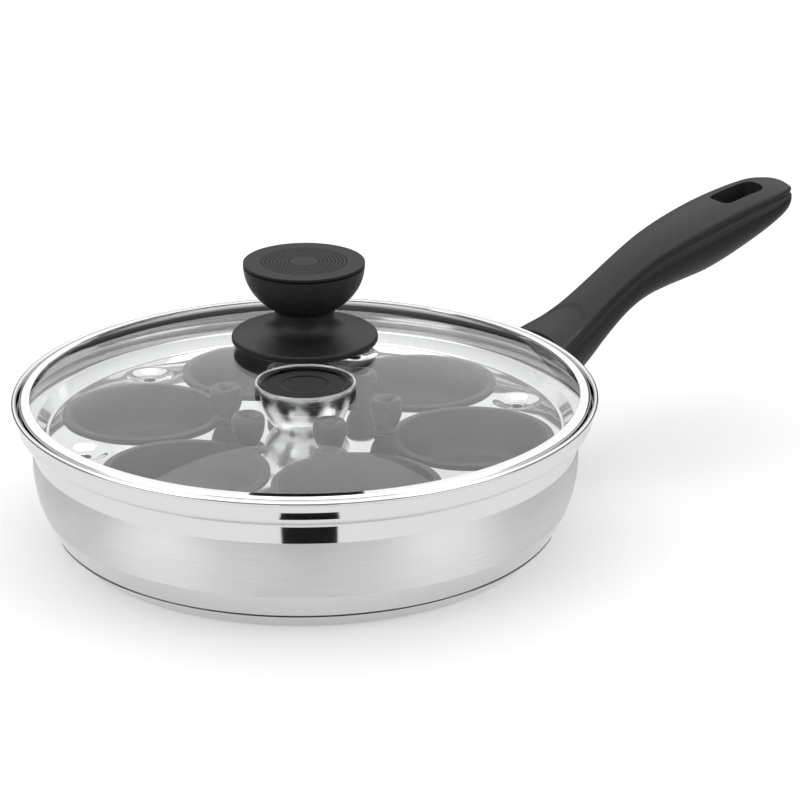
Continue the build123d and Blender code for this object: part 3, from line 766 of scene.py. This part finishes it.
def faced_up(spots, face):
    """The same face, wound so that it looks up."""
    first, second, third = [spots[i] for i in face[:3]]
    return face if (second - first).cross(third - first) > 0 else face[::-1]


def weld(mesh, reach):
    """Join the points of a mesh that lie closer together than reach."""
    work = bmesh.new()
    work.from_mesh(mesh)
    bmesh.ops.remove_doubles(work, verts=work.verts, dist=reach)
    work.to_mesh(mesh)
    work.free()


cup_angles = [math.radians(cup_turn + cup_spacing * n) for n in range(cup_count)]
vent_angles = [math.radians(cup_turn + cup_spacing * n + cup_spacing / 2) for n in range(cup_count)]
cup_places = on_circle((0, 0), cup_ring, cup_angles)
vent_places = on_circle((0, 0), vent_ring, vent_angles)
tray_around = 384
tray_loops = [circle((0, 0), tray_flat, tray_around), circle((0, 0), tray_flat - 0.6, tray_around)]
for place in cup_places:
    tray_loops += [circle(place, cup_hole, 144), circle(place, cup_hole + 0.5, 144)]
for place in vent_places:
    tray_loops += [circle(place, radius, 56) for radius, fall in vent_rings]
holes = [(place, cup_hole - 0.05) for place in cup_places]
holes += [(place, vent_hole - 0.02) for place in vent_places]
spots, flat_faces = sheet_between(tray_loops, holes)
tray_verts = []
for spot in spots:
    fall = 0.0
    for place in vent_places:
        away = (spot - Vector(place)).length
        if away < vent_rings[0][0] + 0.01:
            fall = min(vent_rings, key=lambda row: abs(row[0] - away))[1]
    tray_verts.append((spot.x * mm, spot.y * mm, (tray_top - fall) * mm))
flat_count = len(tray_verts)
tray_verts += [(x, y, z - tray_sheet * mm) for x, y, z in tray_verts]
flat_faces = [faced_up(spots, face) for face in flat_faces]
tray_faces = list(flat_faces) + [tuple(i + flat_count for i in face[::-1]) for face in flat_faces]
borders = {}
for face in flat_faces:
    for i, j in zip(face, face[1:] + face[:1]):
        borders[(i, j)] = (j, i) not in borders
        if (j, i) in borders:
            borders[(j, i)] = False
for (i, j), open_edge in borders.items():
    if open_edge and spots[i].length < tray_flat - 0.01:
        tray_faces.append((j, i, i + flat_count, j + flat_count))


def tray_line(inset):
    """The tray's section from its flat up to its bead, its outside moved in by inset."""
    step, wall = tray_step - inset, tray_wall - inset
    return rounded(
        [
            (tray_flat, tray_under + inset, 0),
            (tray_step - 5.0 - inset / 2, tray_under + inset, 3.0 - inset),
            (step, shelf_line(step, tray_seat + inset), 2.0 + inset),
            (wall, shelf_line(wall, tray_seat + inset), 2.6 - inset),
            (wall, tray_bead_height - 0.5, 0),
        ],
        8,
    )


bead_place = (tray_wall - tray_sheet / 2, tray_bead_height)
bead_angles = [math.radians(-140 - 10 * n) for n in range(27)]
tray_bead = on_circle(bead_place, tray_bead_radius, bead_angles)
tray_section = tray_line(tray_sheet) + tray_bead + tray_line(0)[::-1]
first = len(tray_verts)
for radius, height in tray_section:
    tray_verts += [(x * mm, y * mm, height * mm) for x, y in circle((0, 0), radius, tray_around)]
tray_faces += quads(first, len(tray_section), tray_around)
tray_mesh = bpy.data.meshes.new("tray_pressing")
tray_mesh.from_pydata(tray_verts, [], tray_faces)
weld(tray_mesh, 0.00003)
tray = settle("tray_pressing", tray_mesh, 32)


def pressed(name, tone, roughness, depth):
    """Pressed stainless with a fine all-round satin from its last polish."""
    made, tree, steel, solid = blank(name, 1.0)
    flat = node(tree, "VectorMath", {0: solid, 1: (1, 1, 0)}, operation="MULTIPLY")
    rings = node(tree, "VectorMath", {0: flat.outputs[0]}, operation="LENGTH")
    turned = sums(tree, "MULTIPLY", rings.outputs["Value"], 2600.0)
    lathe = node(tree, "TexNoise", {"W": turned, "Scale": 1.0, "Detail": 3.0}, noise_dimensions="1D")
    cloud = noise(tree, solid, 70.0, 4.0)
    blur = sums(tree, "MULTIPLY_ADD", cloud, roughness * 0.5, roughness * 0.75)
    dress(tree, steel, (cloud, [c * 0.98 for c in tone], tone), blur, lathe.outputs[0], depth)
    return made


tray_steel = pressed("tray_steel", (0.82, 0.82, 0.82), 0.06, 0.0000006)
tray.data.materials.clear()
tray.data.materials.append(tray_steel)
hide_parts("egg_tray")
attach(tray, "tray")

# Tray knob: a small steel bowl that stands on the tray, with a glossy black insert clipped
# in its mouth, and one screw from below that holds both.
bowl_foot = 14.84
bowl_waist = 21.2
bowl_neck = 22.6
bowl_neck_height = 73.4
bowl_radius = 24.8
bowl_sheet = 1.0
bowl_band_height = 74.4
bowl_top = 77.2


def three_point(a, b, c, steps):
    """Points on the arc from a through b to c, a left out."""
    ax, ay, bx, by, cx, cy = *a, *b, *c
    d = 2 * (ax * (by - cy) + bx * (cy - ay) + cx * (ay - by))
    ux = ((ax**2 + ay**2) * (by - cy) + (bx**2 + by**2) * (cy - ay) + (cx**2 + cy**2) * (ay - by)) / d
    uy = ((ax**2 + ay**2) * (cx - bx) + (bx**2 + by**2) * (ax - cx) + (cx**2 + cy**2) * (bx - ax)) / d
    size = math.dist((ux, uy), a)
    first = math.atan2(ay - uy, ax - ux)
    middle = (math.atan2(by - uy, bx - ux) - first) % (2 * math.pi)
    swing = (math.atan2(cy - uy, cx - ux) - first) % (2 * math.pi)
    if middle > swing:
        swing -= 2 * math.pi
    return on_circle((ux, uy), size, [first + swing * (n + 1) / steps for n in range(steps)])


def bowl_line(inset):
    """The bowl's outline from its foot up to its mouth, moved in by inset."""
    foot = (bowl_foot, tray_top + inset)
    neck = (bowl_neck - inset, bowl_neck_height)
    middle = (bowl_waist - inset, (tray_top + bowl_neck_height) / 2)
    mouth = (bowl_radius - inset, bowl_band_height)
    return [(2.1, tray_top + inset), foot] + three_point(foot, middle, neck, 20) + [mouth]


bowl_lip = [
    (bowl_radius, bowl_top - 0.35),
    (bowl_radius - 0.12, bowl_top - 0.1),
    (bowl_radius - 0.35, bowl_top),
    (bowl_radius - bowl_sheet + 0.35, bowl_top),
    (bowl_radius - bowl_sheet + 0.12, bowl_top - 0.1),
    (bowl_radius - bowl_sheet, bowl_top - 0.35),
]
bowl_outline = bowl_line(0) + bowl_lip + bowl_line(bowl_sheet)[::-1]
knob_steel = stainless("knob_steel", (0.84, 0.84, 0.84), 0.28, 0.0, 0.02, 0.0000005)
bowl = spun("tray_knob_bowl", bowl_outline, [knob_steel], around=192)
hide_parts("tray_knob")
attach(bowl, "tray")


def glossy_moulding(name, tone, roughness, shine):
    """Polished black moulding with a faint haze and fine wipe marks."""
    made, tree, skin, solid = blank(name, 0.0, shine)
    haze = noise(tree, solid, 240.0, 4.0)
    blur = sums(tree, "MULTIPLY_ADD", haze, 0.10, roughness)
    dress(tree, skin, (haze, tone, [c * 1.6 for c in tone]), blur, haze, 0.00002)
    return made


insert_radius = 23.55
insert_top = 76.4
insert_under = 74.6
insert_line = [
    (0, 54.8, 0),
    (5.0, 54.8, 0.4),
    (5.0, insert_under, 0.6),
    (insert_radius, insert_under, 0.3),
    (insert_radius, insert_top, 0.5),
    (20.9, insert_top, 0.4),
    (19.6, insert_top - 0.9, 0.5),
    (12.4, insert_top - 0.9, 0.2),
    (11.6, insert_top - 1.15, 0.2),
    (0, insert_top - 1.15, 0),
]
insert_black = glossy_moulding("insert_black", (0.003, 0.003, 0.003), 0.25, 0.08)
insert = spun("tray_knob_inlay", rounded(insert_line, 5), [insert_black], around=192, closed=False, crease=50)
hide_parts("tray_knob_insert")
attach(insert, "tray")
wear(["tray_knob_screw"], fastener_steel)

# Egg cups: pressed aluminium with a dark non-stick coat, each with a lug on its rim that
# points to the middle of the tray and carries its grip.
cup_rim = 40.5
cup_mouth = 38.0
cup_sheet = 1.2
cup_top = 55.3
cup_depth = 22.0
cup_floor = 31.0
cup_round = 9.0
lug_reach = 43.0
lug_radius = 8.0
lug_blend = 3.0


def lug_edge(turn):
    """Distance from the middle of a cup to the edge of its rim and lug, at an angle from the lug."""
    turn = abs((turn + math.pi) % (2 * math.pi) - math.pi)
    reach = 0.0
    if turn < math.pi / 2:
        side = lug_radius / max(math.sin(turn), 1e-9)
        inside = lug_radius**2 - (lug_reach * math.sin(turn)) ** 2
        if inside > 0:
            end = lug_reach * math.cos(turn) + math.sqrt(inside)
            if end * math.cos(turn) >= lug_reach:
                side = min(side, end) if side * math.cos(turn) < lug_reach else end
        reach = side
    close = max(lug_blend - abs(reach - cup_rim), 0) / lug_blend
    return max(reach, cup_rim) + close * close * lug_blend / 4


cup_turns = []
turn = -180.0
while turn < 180.0 - 1e-6:
    cup_turns.append(math.radians(turn))
    turn += 0.5 if abs(turn + 0.01) < 16 else 2.5
inner_line = rounded(
    [
        (0, cup_top - cup_depth + cup_sheet, 0),
        (cup_floor - cup_sheet, cup_top - cup_depth + cup_sheet, cup_round),
        (cup_mouth - cup_sheet, cup_top, 0.5),
        (cup_mouth, cup_top, 0),
    ],
    10,
)
outer_line = rounded(
    [
        (0, cup_top - cup_depth, 0),
        (cup_floor, cup_top - cup_depth, cup_round),
        (cup_mouth, cup_top, 0),
    ],
    10,
)
under_rim = cup_top - cup_sheet
outer_line = [p for p in outer_line if p[1] < under_rim - 0.8]
outer_line += [(cup_mouth - 0.25, under_rim - 0.3), (cup_mouth + 0.1, under_rim)]
# The rounded edge of the rim and lug, outwards and downwards from its top corner
edge_round = [
    (-0.42, 0.0),
    (-0.2, -0.07),
    (-0.06, -0.2),
    (0.0, -0.42),
    (0.0, -0.78),
    (-0.06, -1.0),
    (-0.2, -1.13),
    (-0.42, -1.2),
]
cup_rings = [[(r, z)] * len(cup_turns) for r, z in inner_line[1:]]
cup_rings += [[(lug_edge(t) + out, cup_top + down) for t in cup_turns] for out, down in edge_round]
cup_rings += [[(r, z)] * len(cup_turns) for r, z in outer_line[1:][::-1]]


def cup_mesh(name, middle, turned):
    """One cup about its own middle, with its lug turned to the middle of the tray."""
    verts, faces = [(middle[0] * mm, middle[1] * mm, inner_line[0][1] * mm)], []
    for ring in cup_rings:
        for (radius, height), turn in zip(ring, cup_turns):
            x = middle[0] + radius * math.cos(turn + turned)
            y = middle[1] + radius * math.sin(turn + turned)
            verts.append((x * mm, y * mm, height * mm))
    count = len(cup_turns)
    for n in range(count):
        faces.append((0, 1 + n, 1 + (n + 1) % count))
    faces += quads(1, len(cup_rings), count)
    verts.append((middle[0] * mm, middle[1] * mm, outer_line[0][1] * mm))
    last = 1 + (len(cup_rings) - 1) * count
    for n in range(count):
        faces.append((len(verts) - 1, last + (n + 1) % count, last + n))
    mesh = bpy.data.meshes.new(name)
    mesh.from_pydata(verts, [], faces)
    return settle(name, mesh, 60)


def coating(name, tone, roughness):
    """Sprayed non-stick coat: fine orange peel with pale flecks."""
    made, tree, skin, solid = blank(name, 0.0, 0.25)
    peel = noise(tree, solid, 1400.0, 3.0)
    flecks = node(tree, "TexVoronoi", {"Vector": solid, "Scale": 1900.0}, feature="F1")
    fleck = ramp(tree, flecks.outputs[0], [(0.0, 1.0), (0.10, 0.8), (0.16, 0.0), (1.0, 0.0)])
    blur = sums(tree, "MULTIPLY_ADD", peel, 0.14, roughness - 0.07)
    dress(tree, skin, (fleck, tone, [c * 1.7 + 0.004 for c in tone]), blur, peel, 0.00001)
    return made


cup_coat = coating("cup_coat", (0.020, 0.020, 0.021), 0.42)
for n in range(cup_count):
    cup = cup_mesh(f"cup_bowl_{n + 1}", cup_places[n], cup_angles[n] + math.pi)
    cup.data.materials.append(cup_coat)
    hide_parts(f"egg_cup_{n + 1}")
    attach(cup, f"cup_{n + 1}")

# Cup grips: small black mouldings standing on the lugs, waisted below the head, with two
# fine rings round the head and a dish on top for the screw.
grip_foot = 55.3
grip_ring = cup_ring - lug_reach
grip_places = on_circle((0, 0), grip_ring, cup_angles)
grip_line = [(1.75, 0.0), (5.7, 0.0), (5.9, 0.25), (5.7, 0.7), (5.0, 1.6)]
grip_line += three_point((5.0, 1.6), (7.45, 6.8), (8.2, 12.0), 16)
grip_line += [
    (8.15, 12.1),
    (7.7, 12.4),
    (7.7, 12.6),
    (8.15, 12.9),
    (8.2, 13.0),
    (8.2, 13.4),
    (8.15, 13.5),
    (7.7, 13.8),
    (7.7, 14.0),
    (8.0, 14.2),
    (8.0, 14.3),
    (7.3, 15.6),
    (6.9, 15.85),
    (6.4, 16.0),
    (5.4, 15.9),
    (4.4, 15.5),
    (3.6, 14.95),
    (2.95, 14.4),
    (2.95, 10.2),
    (1.75, 10.2),
]
grip_black = moulding("grip_black", (0.018, 0.018, 0.019), 0.38, 1900.0, 0.00003, 0.010, 0.35)
for n in range(cup_count):
    outline = [(r, grip_foot + z) for r, z in grip_line]
    grip = spun(f"grip_{n + 1}", outline, [grip_black], around=72, middle=grip_places[n], crease=50)
    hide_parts(f"cup_grip_{n + 1}")
    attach(grip, f"cup_{n + 1}")
wear([f"cup_screw_{n + 1}" for n in range(cup_count)], fastener_steel)

# Lid glass: a shallow dome of toughened glass with a ground and rounded edge, and a hole
# in the middle for the knob's screw.
dome_top = 99.0
band_radius = 141.2
band_inner = 136.0
band_top = 74.7
band_sheet = 0.5
glass_radius = 140.6
glass_thick = 3.6
glass_bore = 5.0
dome_fall = dome_top - (band_top - band_sheet - 0.1)
dome_curve = (band_inner**2 + dome_fall**2) / (2 * dome_fall)


def dome(radius, curve):
    """Height of a dome of this curve at a distance from the middle."""
    return dome_top - dome_curve + math.sqrt(curve**2 - radius**2)


dome_steps = [glass_bore + (glass_radius - 1.4 - glass_bore) * n / 60 for n in range(61)]
dome_over = [(r, dome(r, dome_curve)) for r in dome_steps]
dome_below = [(r, dome(r, dome_curve - glass_thick)) for r in dome_steps]
edge_start, edge_end = dome_over[-1], dome_below[-1]
edge_middle = (glass_radius, (edge_start[1] + edge_end[1]) / 2 - 0.4)
glass_edge = three_point(edge_start, edge_middle, edge_end, 14)[:-1]
glass_outline = dome_over + glass_edge + dome_below[::-1]
glass_clear, tree, clear, solid = blank("clear_glass", 0.0)
clear.inputs["Base Color"].default_value = (0.985, 0.992, 0.99, 1)
clear.inputs["Roughness"].default_value = 0.0
clear.inputs["IOR"].default_value = 1.48
clear.inputs["Transmission Weight"].default_value = 1.0
ripple = noise(tree, solid, 14.0, 1.0)
wave = node(tree, "Bump", {"Height": ripple, "Distance": 0.00006, "Strength": 1.0})
tree.links.new(wave.outputs[0], clear.inputs["Normal"])
let_through = node(tree, "BsdfTransparent", {"Color": (0.95, 0.96, 0.955, 1)})
shadow = node(tree, "LightPath").outputs["Is Shadow Ray"]
pick = node(tree, "MixShader", {0: shadow, 1: clear.outputs[0], 2: let_through.outputs[0]})
tree.links.new(pick.outputs[0], tree.nodes["Material Output"].inputs["Surface"])
glass = spun("lid_pane", glass_outline, [glass_clear], around=384)
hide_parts("lid_glass")
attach(glass, "lid")

# Rim band: a narrow channel of polished stainless steel, rolled over the edge of the glass.
# Its lower edge stands on the tray's bead, inside the pan's lip.
band_under = 67.85
band_round = 1.8


def band_line(inset):
    """The band's outline from its upper to its lower edge, moved in by inset."""
    outer = band_radius - inset
    return rounded(
        [
            (band_inner, band_top - inset, 0),
            (outer, band_top - inset, band_round - inset),
            (outer, band_under + inset, band_round - inset),
            (band_inner, band_under + inset, 0),
        ],
        10,
    )


band_steel = stainless("band_steel", (0.82, 0.82, 0.825), 0.05, 0.0, 0.02, 0.0000005)
band = spun("rim_band", band_line(0) + band_line(band_sheet)[::-1], [band_steel], around=384)
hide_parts("lid_rim_band")
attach(band, "lid")

# Lid knob: one black moulding with a wide flange, a waisted neck and a bowl, and a flat
# disc that plugs the bowl. A brass sleeve moulded into the neck takes the screw.
flange_under = 100.3
flange_top = 103.8
flange_radius = 36.0
cone_radius = 22.0
cone_height = 106.4
neck_radius_knob = 14.8
neck_top = 114.5
knob_radius = 29.8
knob_bowl_depth = 25.6
disc_under = 139.6
disc_top = 141.0
bowl_rim = 139.0
spigot = 26.0
spigot_fit = 0.25
spigot_deep = 3.1
plug_deep = 2.75
bowl_low = math.acos(neck_radius_knob / knob_radius)
bowl_high = math.asin((disc_under - bowl_rim) / knob_bowl_depth)
bowl_turns = [-bowl_low + (bowl_low - bowl_high) * n / 30 for n in range(31)]
knob_bowl = [(knob_radius * math.cos(t), disc_under + knob_bowl_depth * math.sin(t)) for t in bowl_turns]
knob_flange = rounded(
    [
        (0, flange_under, 0),
        (flange_radius, flange_under, 1.2),
        (flange_radius, flange_top, 1.5),
        (cone_radius, cone_height, 0),
    ]
)
neck_curve = arc_to((neck_radius_knob, neck_top), (0, -1), (cone_radius, cone_height), 12)[:-1][::-1]
neck_line = rounded([(neck_radius_knob, neck_top, 0), (*knob_bowl[0], 2.5), (*knob_bowl[3], 0)], 8)
knob_outline = knob_flange[:-1] + [(cone_radius, cone_height)] + neck_curve + neck_line[:-1]
knob_outline += knob_bowl[3:] + [(spigot + spigot_fit, bowl_rim)]
knob_outline += [(spigot + spigot_fit, bowl_rim - plug_deep), (0, bowl_rim - plug_deep)]
knob_black = moulding("knob_black", (0.012, 0.012, 0.013), 0.42, 1500.0, 0.00007, 0.030, 0.25)
knob = spun("knob_moulding", knob_outline, [knob_black], around=256, closed=False, crease=40)
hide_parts("lid_knob")
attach(knob, "lid")
wear(["knob_insert"], metal("brass", (0.78, 0.58, 0.28), 0.30, 1100.0, 0.000006))

# Knob disc: a flat black moulding that plugs the knob's bowl with a short spigot. Its top
# has rings of fine round dimples about a bare centre.
disc_around = 256
disc_round = 0.5
dot_pitch = 1.9
dot_rows = range(4, 12)
dot_radius = 0.6
dot_depth = 0.6
dots = []
for row in dot_rows:
    ring_radius = row * dot_pitch
    count = int(round(2 * math.pi * ring_radius / (dot_pitch * 1.02)))
    for n in range(count):
        turn = 2 * math.pi * (n + 0.5 * (row % 2)) / count
        dots.append((ring_radius * math.cos(turn), ring_radius * math.sin(turn)))
disc_edge = knob_radius - disc_round
disc_loops = [circle((0, 0), disc_edge, disc_around), circle((0, 0), disc_edge - 0.4, disc_around)]
for place in dots:
    disc_loops += [circle(place, dot_radius, 10), circle(place, dot_radius * 0.6, 6)]
spots, disc_faces = sheet_between(disc_loops, [])
dot_cell = 2
dot_tree = {}
for x, y in dots:
    dot_tree.setdefault((round(x / dot_cell), round(y / dot_cell)), []).append(Vector((x, y)))
disc_verts = []
for spot in spots:
    fall = 0.0
    cell = (round(spot.x / dot_cell), round(spot.y / dot_cell))
    for i in (-1, 0, 1):
        for j in (-1, 0, 1):
            for place in dot_tree.get((cell[0] + i, cell[1] + j), []):
                if (spot - place).length < dot_radius * 0.8:
                    fall = dot_depth
    disc_verts.append((spot.x * mm, spot.y * mm, (disc_top - fall) * mm))
disc_side = rounded(
    [
        (knob_radius - disc_round, disc_top, 0),
        (knob_radius, disc_top, disc_round * 0.9),
        (knob_radius, disc_under, 0.15),
        (spigot, disc_under, 0),
        (spigot, disc_under - spigot_deep, 0.2),
        (0.1, disc_under - spigot_deep, 0),
    ]
)
first = len(disc_verts)
for radius, height in disc_side:
    disc_verts += [(x * mm, y * mm, height * mm) for x, y in circle((0, 0), radius, disc_around)]
disc_faces += quads(first, len(disc_side), disc_around)
last_ring = first + (len(disc_side) - 1) * disc_around
disc_faces.append(tuple(range(last_ring, last_ring + disc_around)))
disc_mesh = bpy.data.meshes.new("knob_cap")
disc_mesh.from_pydata(disc_verts, [], disc_faces)
weld(disc_mesh, 0.00001)
disc = settle("knob_cap", disc_mesh, 40)
disc.data.materials.append(moulding("cap_black", (0.010, 0.010, 0.011), 0.46, 1500.0, 0.00004, 0.016, 0.2))
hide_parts("knob_disc")
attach(disc, "lid")

# Under the knob: a silicone gasket on the glass, and below it a seal, a washer and the
# screw that draws the knob down.
silicone = moulding("silicone", (0.045, 0.045, 0.047), 0.55, 1200.0, 0.00002, 0.0)
wear(["knob_gasket", "knob_seal"], silicone)
wear(["knob_washer", "knob_screw"], fastener_steel)
